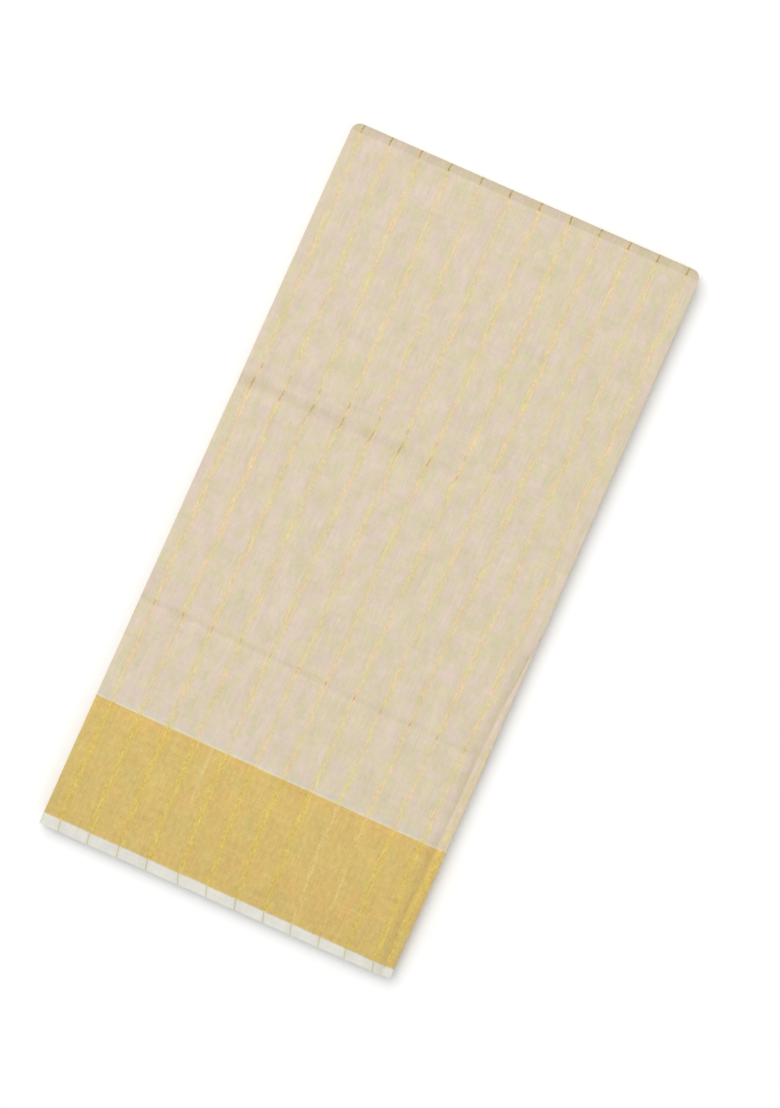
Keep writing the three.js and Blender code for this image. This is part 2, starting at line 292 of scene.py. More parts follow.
class Bundle:
    """Where the folded cloth lies: the shape of the bundle, and the place of each fold and layer in it."""

    def __init__(self, cloth):
        self.cloth = cloth

    def along(self, place):
        """How far along Y a place across the cloth lies, and how far round the fold it has turned: 0 on the
        upper face, half a circle on the underside."""
        turn = np.clip((place - UPPER_WIDTH) / FOLD_RADIUS, 0, math.pi)
        upper = np.minimum(place, UPPER_WIDTH)
        under = np.maximum(place - UPPER_WIDTH - math.pi * FOLD_RADIUS, 0)
        return upper - HALF_LENGTH - under, turn

    def half_width(self, y):
        """Half the bundle's width: it spreads evenly from the fold to the selvedges."""
        t = (FOLD_CENTRE - y) / UPPER_WIDTH
        return FOLD_END_HALF + (SELVEDGE_END_HALF - FOLD_END_HALF) * t

    def off_crease(self, crease, share, y):
        """How far above a crease's slightly bent line a place lies, at this share of the half width."""
        return y - (crease.place - crease.slant * (share + 0.15 * np.sin(4 * share)) / 2)

    def creases(self, x, y, rows):
        """Depth of these creases: a rounded trough on each one's line, steeper above, with a ridge below."""
        share = x / self.half_width(y)
        depth = np.zeros(np.broadcast(x, y).shape)
        for crease in rows:
            deep = curve_through(((-1, crease.left), (0, crease.middle), (1, crease.right)), share)
            off = self.off_crease(crease, share, y)
            ridge = crease.ridge * np.exp(-(((off + 2.4 * crease.width) / (1.4 * crease.width)) ** 2))
            wide = np.where(off > 0, crease.width, 1.9 * crease.width)
            depth += deep * (np.exp(-((off / wide) ** 2)) - ridge)
        return depth

    def worn(self, x, y, turn):
        """How much painted shade darkens the gold thread: wholly round the fold, and in short marks in the
        creases, towards their steeper upper side.
        """
        share = x / self.half_width(y)
        dark = eased(0.02, 0.12, turn) * eased(-0.02, 0.1, math.pi - turn)
        for side, rows in ((turn < 0.01, UPPER_CREASES), (turn > 3.13, UNDER_CREASES)):
            for crease in rows:
                deep = crease.worn + (crease.faded - crease.worn) * eased(-0.3, 0.8, share)
                off = self.off_crease(crease, share, y)
                mark = deep * np.exp(-(((off - 0.4 * crease.width) / (0.85 * crease.width)) ** 4))
                dark = np.maximum(dark, side * mark)
        return dark

    def beside_free_end(self, x, y, inner, outer):
        """A ridge of 1 along the free end, with these widths. It fades where the end reaches the side."""
        inset = curve_through(FREE_END, y)
        off = self.half_width(y) - inset - x
        return np.exp(-((off / np.where(off > 0, inner, outer)) ** 2)) * eased(0.4 * MM, 3.0 * MM, inset)

    def painted_shade(self, x, y, turn):
        """How much painted shade darkens the cloth: round the fold, in the creases, and beside the free end,
        where its step casts shadow.
        """
        beside = self.beside_free_end(x, y, 3.4 * MM, 1.3 * MM)
        return np.maximum(self.worn(x, y, turn) ** 2, 0.65 * beside * (turn < 0.01))

    def crown(self, x, y):
        """Height of the upper face: the heights along Y, rounded at the sides, less the creases and the
        other hollows, with low waves in both directions that fade at the bundle's edges."""
        half = self.half_width(y)
        share = np.clip(np.abs(x) / half, 0, 1)
        height = curve_through(HEIGHTS, y) + MIDDLE_SINKS * (share ** 2 - 1)
        height = height - SIDES_ROUND * eased(0.95, 1.01, share) ** 2
        calm = (1 - eased(0.8, 1, share)) * eased(0, 30 * MM, FOLD_CENTRE - y)
        calm = calm * eased(0, 12 * MM, y + HALF_LENGTH)
        waves = wander(1, y + 0.25 * x, 0.21) * wander(2, x - 0.18 * y, 0.17)
        waves = waves + 0.45 * wander(3, y - 0.35 * x, 0.083) * wander(4, x + 0.1 * y, 0.12)
        height = height + calm * self.cloth.wave_height * waves - self.creases(x, y, UPPER_CREASES)
        return height - self.step(x, y) - self.hollow(x, y)

    def step(self, x, y):
        """The outer cloth dips towards its free end, and the fold below rises again past it."""
        return FREE_END_DIP * self.beside_free_end(x, y, 4.0 * MM, 1.7 * MM)

    def hollow(self, x, y):
        """A soft hollow along the right side, over the folds inside. It fades where the free end begins."""
        off = self.half_width(y) - HOLLOW_INSET - 2 * MM * wander(5, y, 0.3) - x
        fade = eased(-70 * MM, 30 * MM, y) * eased(0, 25 * MM, FOLD_CENTRE - y)
        return HOLLOW_DEPTH * np.exp(-((off / (5 * MM)) ** 2)) * fade

    def belly(self, x, y):
        """Height of the underside above the floor: level, but for its creases and its rounded sides."""
        share = np.clip(np.abs(x) / self.half_width(y), 0, 1)
        rounded = UNDER_ROUND * eased(0.96, 1.01, share) ** 2 * eased(0, 25 * MM, FOLD_CENTRE - y)
        return rounded + self.creases(x, y, UNDER_CREASES)

    def corner(self, turn, depth):
        """How much a layer narrows as it turns round the fold: its corners are quarter circles in plan."""
        reach = np.clip((1 - depth / FOLD_RADIUS) * np.sin(turn), 0, 1)
        return FOLD_RADIUS * (1 - np.sqrt(1 - reach * reach))

    def layers(self, place):
        """Depth of each layer's middle under the bundle's skin, at rows of places. The layers share the
        radius unevenly, and the first and last are given twice, for the folds past them."""
        numbers = np.arange(1, self.cloth.panels + 1)
        shares = 1 + 0.26 * wander(numbers + 40, place[:, None], 0.23) * (numbers > 3)
        edges = np.cumsum(shares, axis=1) / shares.sum(axis=1, keepdims=True)
        middle = FOLD_RADIUS * (edges - shares / shares.sum(axis=1, keepdims=True) / 2)
        return np.concatenate([middle[:, :1], middle, middle[:, -1:]], axis=1)

    def setback(self, fold, place, y, turn):
        """How far inside the bundle's side a fold lies. Fold 0 is the outer panel's free end, the next two
        lie at the two sides, and each of the others wanders by itself."""
        free = curve_through(FREE_END, y) * (turn < 0.01) + 0.12 * MM
        neat = 0.1 * MM + 0.1 * MM * wander(fold, place, 0.19)
        loose = 0.35 * MM + self.cloth.unevenness * (0.55 + 0.45 * wander(fold + 70, place, 0.41))
        loose = loose + 0.16 * MM * wander(fold + 90, place, 0.052)
        return np.where(fold == 0, free, np.where(fold < 3, neat, loose))

    def shift(self, length_place, under):
        """How far the selvedge lies inside the bundle's end: unevenly, except on the outer panel."""
        inside = eased(0.32, 0.9, length_place)
        steady = 0.12 * MM * eased(0.3, 0.5, length_place)
        return steady + inside * 0.95 * MM * (1 + wander(30 + under, length_place, 1.7))

    def line(self, name, x, length_place, under):
        """Distance from the bundle's selvedge end of the cloth's edge, or of where its white or its gold
        ends."""
        share = x / SELVEDGE_END_HALF
        edge = self.shift(length_place, under) + 0.07 * MM * wander(31, x, 0.06)
        white = self.cloth.selvedge_width - self.cloth.selvedge_slant * share
        white = white + 0.12 * MM * wander(32, x, 0.045)
        gold = self.cloth.border_width - 0.35 * MM * share
        return {"edge": edge, "white": edge + white, "gold": edge + white + gold}[name]

    def point(self, place, x, depth):
        """The point at a place across the cloth, at x, this deep under the bundle's skin. Layers lie level
        between the upper face and the underside, and on half circles round the fold's centre."""
        y, turn = self.along(place)
        crown = self.crown(x, y)
        belly = self.belly(x, y)
        radius = crown / 2
        sunk = depth / FOLD_RADIUS
        upper = crown - radius * sunk
        under = belly * (1 - sunk) + radius * sunk
        round_fold = radius + radius * (1 - sunk) * np.cos(turn)
        z = np.where(turn <= 0, upper, np.where(turn >= math.pi, under, round_fold))
        y = y + radius * (1 - sunk) * np.sin(turn)
        short = END_SKEW / HALF_LENGTH * np.maximum(y, 0) * (1 - np.clip(x / self.half_width(y), -1, 1)) / 2
        return np.stack(np.broadcast_arrays(x, y - short, z), axis=-1)


Zone = namedtuple("Zone", "start stop under slot")
ZONES = {
    "selvedge_upper": Zone("edge", "white", 0, "white_selvedge"),
    "border_upper": Zone("white", "gold", 0, "gold_border"),
    "body": Zone("gold", "gold", 0, "cotton"),
    "border_under": Zone("gold", "white", 1, "gold_border"),
    "selvedge_under": Zone("white", "edge", 1, "white_selvedge"),
}


def panel_run(first, last, start, stop, shares, bends):
    """Stations along the zigzag, from a share of the first panel to a share of the last: the panel, the share
    of it, and how far the cloth has turned round its far fold."""
    rows = []
    for panel in range(first, last + 1):
        low = start if panel == first else 0.0
        high = stop if panel == last else 1.0
        inside = shares[(shares > low + 0.002) & (shares < high - 0.002)]
        rows += [(panel, share, 0.0) for share in (low, *inside, high)]
        if panel < last:
            rows += [(panel, 1.0, math.pi * step / bends) for step in range(1, bends)]
    panel, share, turn = np.array(rows).T
    return panel.astype(int), share, turn


def row_places(start, stop, step):
    """Places from start to stop, about a step apart on the upper face, closer on creases and round the fold,
    and further apart on the underside."""
    fine = np.linspace(start, stop, 6000)
    y = np.minimum(fine, CLOTH_WIDTH - fine) - HALF_LENGTH
    spacing = np.where(fine > CLOTH_WIDTH / 2, 1.9 * step, step)
    for crease in UPPER_CREASES + UNDER_CREASES:
        spacing = np.where(np.abs(y - crease.place) < 9 * MM, 0.6 * step, spacing)
    spacing = np.where(np.abs(fine - CLOTH_WIDTH / 2) < 16 * MM, 1.3 * MM, spacing)
    total = np.concatenate([[0], np.cumsum(np.diff(fine) / spacing[1:])])
    return np.interp(np.linspace(0, total[-1], max(2, round(total[-1])) + 1), total, fine)


def stripe_place(length_place, y):
    """A number that grows by one from stripe to stripe, and is whole on each. The stripes lie on straight
    lines from the fold to the selvedge, bent sideways a little as the table says."""
    numbers = np.arange(-230, len(STRIPES) + 6)
    outer = np.clip(numbers, 0, len(STRIPES) - 1)
    past = numbers - outer
    across = PANEL_WIDTH / 2 - length_place
    middle = STRIPE_PITCH * (numbers - len(STRIPES) / 2 + 0.5)
    bent = across
    for column, part in (("upper_bend", UPPER_BEND), ("lower_bend", LOWER_BEND)):
        bends = [getattr(STRIPES[n], column) * (p == 0) for n, p in zip(outer, past)]
        bent = bent - curve_through(part, y) * np.interp(across, middle, bends)
    first = (STRIPES[0].at_fold - FOLD_END_HALF + STRIPES[0].at_selvedge - SELVEDGE_END_HALF) / 2
    found = []
    ends = ((FOLD_END_HALF, "at_fold", ASKEW_AT_FOLD), (SELVEDGE_END_HALF, "at_selvedge", ASKEW_AT_SELVEDGE))
    for half, column, askew in ends:
        at = np.array([getattr(STRIPES[n], column) for n in outer]) - half
        inside = first + HIDDEN_PITCH * past - askew * np.clip(-past / len(STRIPES), 0, 1)
        at = np.where(past < 0, inside, at + HIDDEN_PITCH * past)
        found.append(np.interp(bent, at, numbers))
    t = (FOLD_CENTRE - y) / UPPER_WIDTH
    return found[0] + (found[1] - found[0]) * t


def folded_strip(bundle, run, zone_name, start=None, stop=None, step=2.6 * MM):
    """Both faces of a strip of the zigzag, in one zone of the cloth. A panel is level at its layer's depth,
    and a fold is a half circle between two layers' depths. Each face lies half the cloth's thickness off the
    middle. A start or stop takes the place of the zone's own line."""
    zone = ZONES[zone_name]
    cloth = bundle.cloth
    plain = {"edge": 0.0, "white": cloth.selvedge_width, "gold": cloth.selvedge_width + cloth.border_width}
    ends = [plain[zone.start], plain[zone.stop]]
    if zone.under or zone_name == "body":
        ends[1] = CLOTH_WIDTH - ends[1]
    if zone.under:
        ends[0] = CLOTH_WIDTH - ends[0]
    rows = row_places(ends[0] if start is None else start, ends[1] if stop is None else stop, step)
    panel, share, bend = (values[None, :] for values in run)
    place = np.broadcast_to(rows[:, None], (len(rows), panel.shape[1]))
    y, turn = bundle.along(place)
    layers = bundle.layers(rows)
    this = layers[:, panel[0]]
    bow = (layers[:, panel[0] + 1] - this) / 2
    bow_before = (this - layers[:, panel[0] - 1]) / 2

    def fold_line(fold, bow, depth):
        """Where a fold's half circle begins. Odd folds lie at the left, and even ones at the right."""
        setback = bundle.setback(fold, place, y, turn) + bow + cloth.thickness / 2
        reach = bundle.half_width(y) - bundle.corner(turn, depth) - setback
        return np.where(fold % 2 == 1, -reach, reach)

    side = np.where(panel % 2 == 1, -1, 1)
    begin = fold_line(panel - 1, bow_before, this - bow_before)
    end = fold_line(panel, bow, this + bow)
    x = begin + (end - begin) * share + side * bow * np.sin(bend)
    depth = this + bow * (1 - np.cos(bend))
    length_place = PANEL_WIDTH * (panel - 0.5) + side * (begin + (end - begin) * share) + bow * bend

    reach = min(40 * MM, ends[1] - ends[0])
    near_start = np.clip(1 - (place - ends[0]) / reach, 0, 1)
    near_stop = np.clip(1 - (ends[1] - place) / reach, 0, 1)
    start_line = bundle.line(zone.start, x, length_place, zone.under)
    stop_line = bundle.line(zone.stop, x, length_place, int(ends[1] > CLOTH_WIDTH / 2))
    start_line = CLOTH_WIDTH - start_line if zone.under else start_line
    stop_line = CLOTH_WIDTH - stop_line if ends[1] > CLOTH_WIDTH / 2 else stop_line
    if start is None:
        place = place + near_start * (start_line - ends[0])
    if stop is None:
        place = place + near_stop * (stop_line - ends[1])
    inward = stop_line - place if zone.under else place - start_line
    if zone_name == "body":
        inward = np.minimum(place - start_line, stop_line - place)

    half = cloth.thickness / 2
    out_x = -np.sin(bend)
    out_depth = side * np.cos(bend)
    faces = [
        bundle.point(place, x + face * half * out_x, depth + face * half * out_depth) for face in (1, -1)
    ]
    y, turn = bundle.along(place)
    return {
        "faces": faces,
        "uv": np.stack([length_place, place], axis=-1),
        "stripe": stripe_place(length_place, y),
        # Painted shade: on the gold thread, and over the cloth.
        "worn": bundle.worn(x, y, turn),
        "painted_shade": bundle.painted_shade(x, y, turn),
        "inward": inward,
    }


def ring_edges(rows, columns):
    """Numbers of the vertices round a grid's edge, in order."""
    grid = np.arange(rows * columns).reshape(rows, columns)
    return np.concatenate([grid[0, :-1], grid[:-1, -1], grid[-1, :0:-1], grid[:0:-1, 0]])


def grid_quads(grid):
    """The four corners of each cell of a grid of vertex numbers."""
    return np.stack([grid[:-1, :-1], grid[:-1, 1:], grid[1:, 1:], grid[1:, :-1]], axis=-1).reshape(-1, 4)


def sheet_object(name, strips, material):
    """A mesh of closed thin sheets: each strip's two faces, joined by a rim. It carries the cloth's own map
    in metres, the stripes' numbers, the painted shade on the gold thread and over the cloth, and the distance
    inward from the zone's outer line."""
    points, quads, rims, total = [], [], [], 0
    for strip in strips:
        front, back = strip["faces"]
        rows, columns = front.shape[:2]
        count = rows * columns
        grid = np.arange(count).reshape(rows, columns)
        quad = grid_quads(grid)
        ring = ring_edges(rows, columns)
        after = np.roll(ring, -1)
        rim = np.stack([after, ring, ring + count, after + count], axis=-1)
        corner = front.reshape(-1, 3)[quad]
        area = np.cross(corner[:, 2] - corner[:, 0], corner[:, 3] - corner[:, 1])
        outward = (area * (front - back).reshape(-1, 3)[quad[:, 0]]).sum()
        if outward < 0:
            quad, rim = quad[:, ::-1], rim[:, ::-1]
        quads.append(np.concatenate([quad, quad[:, ::-1] + count]) + total)
        rims.append(rim + total)
        points.append(np.concatenate([front.reshape(-1, 3), back.reshape(-1, 3)]))
        total += 2 * count
    points, quads, rims = np.concatenate(points), np.concatenate(quads), np.concatenate(rims)
    faces = np.concatenate([quads, rims])
    mesh = bpy.data.meshes.new(name)
    mesh.vertices.add(len(points))
    mesh.vertices.foreach_set("co", points.astype(np.float32).ravel())
    mesh.loops.add(faces.size)
    mesh.loops.foreach_set("vertex_index", faces.astype(np.int32).ravel())
    mesh.polygons.add(len(faces))
    mesh.polygons.foreach_set("loop_start", np.arange(0, faces.size, 4, dtype=np.int32))
    mesh.update(calc_edges=True)
    mesh.polygons.foreach_set("use_smooth", np.arange(len(faces)) < len(quads))
    ends = np.empty(2 * len(mesh.edges), np.int32)
    mesh.edges.foreach_get("vertices", ends)
    on_rim = np.isin(ends.reshape(-1, 2), rims).all(axis=1)
    mesh.edges.foreach_set("use_edge_sharp", on_rim)
    uv = np.concatenate([np.tile(strip["uv"].reshape(-1, 2), (2, 1)) for strip in strips])
    mesh.uv_layers.new(name="cloth").uv.foreach_set("vector", uv[faces.ravel()].astype(np.float32).ravel())
    for key in ("stripe", "worn", "painted_shade", "inward"):
        values = np.concatenate([np.tile(strip[key].ravel(), 2) for strip in strips])
        mesh.attributes.new(key, "FLOAT", "POINT").data.foreach_set("value", values.astype(np.float32))
    mesh.validate()
    mesh.update()
    mesh.materials.append(material)
    piece = bpy.data.objects.new(name, mesh)
    bpy.context.scene.collection.objects.link(piece)
    return piece


class Finish:
    """A material being made, with short ways to add its nodes."""

    def __init__(self, name):
        self.material = bpy.data.materials.new(name)
        self.material.use_nodes = True
        self.tree = self.material.node_tree
        self.tree.nodes.clear()
        self.uv = self.add("ShaderNodeUVMap", uv_map="cloth").outputs["UV"]

    def add(self, kind, inputs=None, **settings):
        """A node with these settings, and with these values fed to its inputs."""
        node = self.tree.nodes.new(kind)
        for key, value in settings.items():
            setattr(node, key, value)
        for key, value in (inputs or {}).items():
            self.feed(node.inputs[key], value)
        return node

    def feed(self, socket, value):
        """Gives a socket a number, a colour or another socket's output."""
        if isinstance(value, bpy.types.NodeSocket):
            self.tree.links.new(value, socket)
        elif isinstance(value, (int, float)):
            socket.default_value = value
        else:
            socket.default_value = (*value, 1.0) if socket.type == "RGBA" else value

    def math(self, operation, *values):
        """A sum on one to three values."""
        return self.add("ShaderNodeMath", dict(enumerate(values)), operation=operation).outputs[0]

    def times(self, first, second):
        """The product of two values."""
        return self.math("MULTIPLY", first, second)

    def plus(self, value, mask, amount):
        """A value raised by this much where a mask says."""
        return self.math("MULTIPLY_ADD", mask, amount, value)

    def vary(self, value, noise, amount):
        """A value made uneven by this much of a noise."""
        return self.plus(value, self.math("SUBTRACT", noise, 0.5), amount)

    def mix(self, share, first, second, blend="MIX"):
        """A colour between two others."""
        inputs = {0: share, 6: first, 7: second}
        return self.add("ShaderNodeMix", inputs, data_type="RGBA", blend_type=blend).outputs[2]

    def over(self, under, colour, mask, strength):
        """A colour laid over another where a mask says, at this strength."""
        return self.mix(self.times(mask, strength), under, colour)

    def value(self, attribute):
        """A number that the mesh holds at each point."""
        return self.add("ShaderNodeAttribute", attribute_name=attribute).outputs["Fac"]

    def noise(self, along, across, offset, detail=2.0, roughness=0.5):
        """Uneven values near 0.5, in patches this many to the metre along the cloth and across it."""
        spot, scale = (offset, 0.61 * offset, offset), (along, across, 1.0)
        place = self.add("ShaderNodeMapping", {"Vector": self.uv, "Location": spot, "Scale": scale})
        inputs = {"Vector": place.outputs[0], "Scale": 1.0, "Detail": detail, "Roughness": roughness}
        return self.add("ShaderNodeTexNoise", inputs, noise_dimensions="2D").outputs["Fac"]

    def rise(self, value, low, high):
        """0 below low, 1 above high, and smooth between them."""
        inputs = {"Value": value, "From Min": low, "From Max": high}
        return self.add("ShaderNodeMapRange", inputs, interpolation_type="SMOOTHSTEP").outputs["Result"]

    def fall(self, value, low, high):
        """1 below low, 0 above high, and smooth between them."""
        return self.math("SUBTRACT", 1.0, self.rise(value, low, high))

    def table(self, value, column, rows):
        """A column of the stripes' table at each stripe's number, in level steps."""
        node = self.add("ShaderNodeValToRGB")
        ramp = node.color_ramp
        ramp.interpolation = "CONSTANT"
        for number, row in enumerate(rows):
            spot = ramp.elements[number] if number < 2 else ramp.elements.new(number / len(rows))
            spot.position = number / len(rows)
            spot.color = (*[(getattr(row, column) + 1) / 2] * 3, 1.0)
        turns = self.math("FRACT", self.math("DIVIDE", self.math("ADD", value, 0.5), float(len(rows))))
        self.feed(node.inputs["Fac"], turns)
        return self.math("MULTIPLY_ADD", node.outputs["Color"], 2.0, -1.0)

    def finish(self, colour, roughness, metallic, height):
        """The shader, with its bump."""
        bump = self.add("ShaderNodeBump", {"Distance": RELIEF, "Strength": 1.0, "Height": height})
        shader = self.add("ShaderNodeBsdfPrincipled", {
            "Base Color": colour, "Roughness": roughness, "Metallic": metallic,
            "Normal": bump.outputs["Normal"], "Sheen Weight": 0.12, "Sheen Roughness": 0.45,
            "Specular IOR Level": 0.25,
        })
        self.add("ShaderNodeOutputMaterial", {"Surface": shader.outputs["BSDF"]})
        return self.material


class Handloom(Finish):
    """The saree's cloth, as cotton, gold border or selvedge: one weave of uneven threads, with the same
    stripes running on from one to the next."""

    def __init__(self, name, cloth, colours):
        super().__init__(name)
        self.colours = colours
        self.yarn = cloth.yarn
        self.find_stripes()
        self.inward = self.value("inward")
        self.drift = self.noise(22, 26, 1.0)
        self.hue = self.noise(105, 70, 2.0, 1.0)
        self.grain = self.noise(270, 190, 11.0, 3.0, 0.7)
        self.weft = self.noise(900, 26, 13.0)
        self.warp = self.noise(30, 900, 17.0)
        self.cross_slubs = self.rise(self.noise(10, 760, 29.0), 0.64, 0.76)
        long_slubs = self.rise(self.noise(760, 14, 23.0), 0.60, 0.74)
        self.slubs = self.math("ADD", long_slubs, self.cross_slubs)
        self.glints = self.rise(self.noise(560, 130, 41.0, 2.0, 0.6), 0.47, 0.60)
        self.stretches = self.rise(self.noise(14, 32, 47.0, 3.0), 0.34, 0.62)

    def find_stripes(self):
        """Where the stripes lie: the nearest one's number, the distance off its middle in metres, the soft
        band that its gold threads tint, and the threads themselves, side by side in the band's middle."""
        stripe = self.value("stripe")
        self.number = self.math("ROUND", stripe)
        waver = self.times(self.math("SUBTRACT", self.noise(9, 38, 21.0), 0.5), STRIPE_WAVER)
        self.off = self.plus(waver, self.math("SUBTRACT", stripe, self.number), STRIPE_PITCH)
        self.away = self.math("ABSOLUTE", self.off)
        fringe = self.times(self.noise(420, 130, 5.0), 1.6 * MM)
        self.band = self.fall(self.math("ADD", self.away, fringe), 1.4 * MM, 5.6 * MM)
        wave = self.math("COSINE", self.times(self.off, 2 * math.pi / ZARI_PITCH))
        self.threads = self.times(self.rise(wave, -0.1, 0.9), self.fall(self.away, 1.5 * MM, 1.9 * MM))

    def weave(self):
        """Height of a plain weave. Where the product of two sines is above nought a warp thread is on top,
        and elsewhere a weft thread: each is a pillow, longer the way its thread runs. The lines waver."""
        node = self.add("ShaderNodeSeparateXYZ", {0: self.uv})
        waver_u = self.times(self.noise(130, 22, 3.1), 1.6 * self.yarn)
        waver_v = self.times(self.noise(22, 130, 7.7), 1.6 * self.yarn)
        along = self.times(self.math("ADD", node.outputs[0], waver_u), math.pi / self.yarn)
        across = self.times(self.math("ADD", node.outputs[1], waver_v), math.pi / self.yarn)
        sine_u, sine_v = self.math("SINE", along), self.math("SINE", across)
        warp_up = self.math("GREATER_THAN", self.times(sine_u, sine_v), 0.0)
        long_u = self.math("POWER", self.math("ABSOLUTE", sine_u), self.plus(1.1, warp_up, -0.7))
        long_v = self.math("POWER", self.math("ABSOLUTE", sine_v), self.plus(0.4, warp_up, 0.7))
        return self.times(long_u, long_v)

    def cotton(self, colours):
        """Cream in cool and warm patches, with a warm line along the border, and gold stripes. Gives the
        colour and how metallic it is, as the next two do."""
        warmth = self.table(self.math("FLOOR", self.value("stripe")), "warmth", STRIPES)
        tone = self.vary(self.vary(0.5, self.hue, 2.7), self.drift, 1.0)
        tone = self.plus(tone, warmth, 0.16)
        ground = self.mix(self.rise(tone, -0.2, 1.2), colours.cool, colours.warm)
        ground = self.over(ground, colours.hem, self.fall(self.inward, 3.5 * MM, 8.0 * MM), 0.55)
        line = self.fall(self.inward, 0.8 * MM, 2.6 * MM)
        ground = self.over(ground, tint(colours.warm, 1.1), line, 0.9)
        tint_share = self.rise(self.noise(130, 85, 9.0), 0.38, 0.62)
        gold = self.mix(tint_share, colours.stripe, colours.stripe_warm)
        strength = self.plus(0.50, self.stretches, 0.42)
        colour = self.over(ground, gold, self.band, strength)
        # Painted glints: the gold thread shows bright in dashes, and a little metallic.
        bright = self.times(self.times(self.threads, self.glints), strength)
        return self.over(colour, colours.zari, bright, 0.85), self.times(bright, 0.3)

    def border(self, colours):
        """Gold in greener patches, with yellow stripes and pale ones, a whitish thread, and a ragged foot."""
        gilt = self.table(self.number, "gilt", STRIPES)
        tone = self.vary(self.vary(0.5, self.hue, 1.5), self.drift, 1.1)
        tone = self.plus(tone, self.rise(self.inward, 86 * MM, 99 * MM), 0.5)
        ground = self.mix(self.rise(tone, -0.1, 1.1), colours.border_olive, colours.border)
        ground = self.over(ground, colours.border_stripe, self.cross_slubs, 0.2)
        gold = self.mix(self.rise(gilt, 0.0, 0.8), colours.border_pale, colours.border_stripe)
        pale = self.fall(gilt, 0.25, 0.55)
        plain = self.plus(1.0, pale, -0.6)
        colour = self.over(ground, colours.border_stripe, self.times(self.band, 0.65), plain)
        strength = self.plus(self.plus(0.08, self.stretches, 0.15), pale, 0.42)
        colour = self.over(colour, gold, self.fall(self.away, 0.4 * MM, 1.7 * MM), strength)
        # Painted glints: the gold thread shows bright in dashes, and a little metallic.
        bright = self.times(self.times(self.threads, self.glints), plain)
        colour = self.over(colour, colours.zari, bright, 0.5)
        joined = self.math("ABSOLUTE", self.math("SUBTRACT", self.value("stripe"), JOINED_THREAD))
        joined = self.times(self.fall(joined, 0.01, 0.08), self.rise(self.inward, 35 * MM, 60 * MM))
        colour = self.over(colour, colours.border_pale, joined, 0.42)
        ragged = self.plus(self.inward, self.noise(600, 60, 59.0), 1.6 * MM)
        colour = self.over(colour, colours.white, self.fall(ragged, 0.9 * MM, 2.2 * MM), 0.45)
        return colour, self.plus(0.15, bright, 0.3)

    def selvedge(self, colours):
        """White cotton, on which each stripe ends as a thin slanted line."""
        ground = self.mix(self.rise(self.hue, 0.3, 0.7), colours.white, tint(colours.white, 0.95))
        ground = self.over(ground, colours.stripe, self.band, 0.14)
        slant = self.plus(self.math("ADD", self.off, -0.9 * MM), self.inward, 0.22)
        thin = self.fall(self.math("ABSOLUTE", slant), 0.25 * MM, 0.75 * MM)
        return self.over(ground, colours.selvedge_stripe, thin, 0.75), 0.0

    def shaded(self, colour):
        """The colour with painted shade on it: dark marks on the gold thread round the fold and in the
        creases, and a dark tint over the cloth there and beside the free end.
        """
        # Painted shade: the gold thread darkened round the fold and in the creases, and the cloth tinted
        # there and beside the free end.
        mark = self.times(self.fall(self.away, 0.25 * MM, 1.05 * MM), self.value("worn"))
        speck = self.plus(-0.35, self.noise(260, 330, 53.0, 3.0), 2.2)
        colour = self.over(colour, self.colours.worn, mark, speck)
        return self.over(colour, self.colours.shade_tint, self.value("painted_shade"), SHADE_TINT_STRENGTH)

    def brightness(self, kind, look):
        """How bright the cloth is, near 1: uneven threads, patches, broad patches of painted light and shade
        as of low waves, which are partly the cloth's own tone, painted light and shade of puckers beside the
        stripes, and slubs.
        """
        # The broad noise is painted light and shade in soft patches one to two centimetres across, as of low
        # waves in the cloth, and partly the cloth's own uneven tone.
        fine, broad_shade = self.noise(2600, 90, 19.0, 1.0), self.noise(70, 48, 27.0)
        light = 1.0
        for noise, amount in zip((self.grain, self.weft, self.warp, fine, broad_shade), (*look[:3], 0.10, 0.15)):
            light = self.vary(light, noise, amount)
        if kind == "border":
            light = self.plus(light, self.rise(self.inward, -40 * MM, 100 * MM), 0.05)
            light = self.math("SUBTRACT", light, 0.05)
        # Painted light and shade of puckers, in spots beside the gold threads.
        pucker_spots = self.math("SUBTRACT", self.noise(480, 400, 61.0, 2.0, 0.7), 0.5)
        light = self.plus(light, self.times(pucker_spots, self.band), look.pucker)
        return self.plus(light, self.slubs, 0.018)

    def made(self, kind):
        """The finished material of this kind of cloth."""
        look = LOOKS[kind]
        colour, metallic = getattr(self, kind)(self.colours)
        colour = self.mix(1.0, self.shaded(colour), self.brightness(kind, look), "MULTIPLY")
        height = self.weave()
        both = self.math("ADD", self.weft, self.warp)
        for part, amount in ((self.slubs, 1.0), (both, 0.8), (self.grain, 1.5), (self.threads, 0.5)):
            height = self.plus(height, part, amount)
        return self.finish(colour, look.roughness, metallic, height)


def materials(context):
    """The three finishes of the cloth, made once."""
    cloth, colours = context.scene.saree_cloth, context.scene.saree_colours
    made = {}
    for slot, kind in (("cotton", "cotton"), ("gold_border", "border"), ("white_selvedge", "selvedge")):
        found = bpy.data.materials.get("handloom_" + kind)
        made[slot] = found or Handloom("handloom_" + kind, cloth, colours).made(kind)
    return made


def add_cloth(name, strips, slot, nodes, context):
    """A finished piece of cloth, tied to the bundle's body, in place of the frame's parts that it stands for,
    which are hidden. The frame takes no width under a centimetre, so a narrower cut is declared by its area."""
    piece = sheet_object(name, strips, materials(context)[slot])
    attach(piece, BODY)
    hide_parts(*nodes)


def add_shown(bundle, run, pieces, context):
    """Adds the pieces of a run that shows, each in its zone of the cloth, as far as its stop."""
    for name, zone, nodes, wide, stop in pieces:
        strip = folded_strip(bundle, run, zone, stop=stop)
        add_cloth(name, [strip], ZONES[zone].slot, nodes, context)


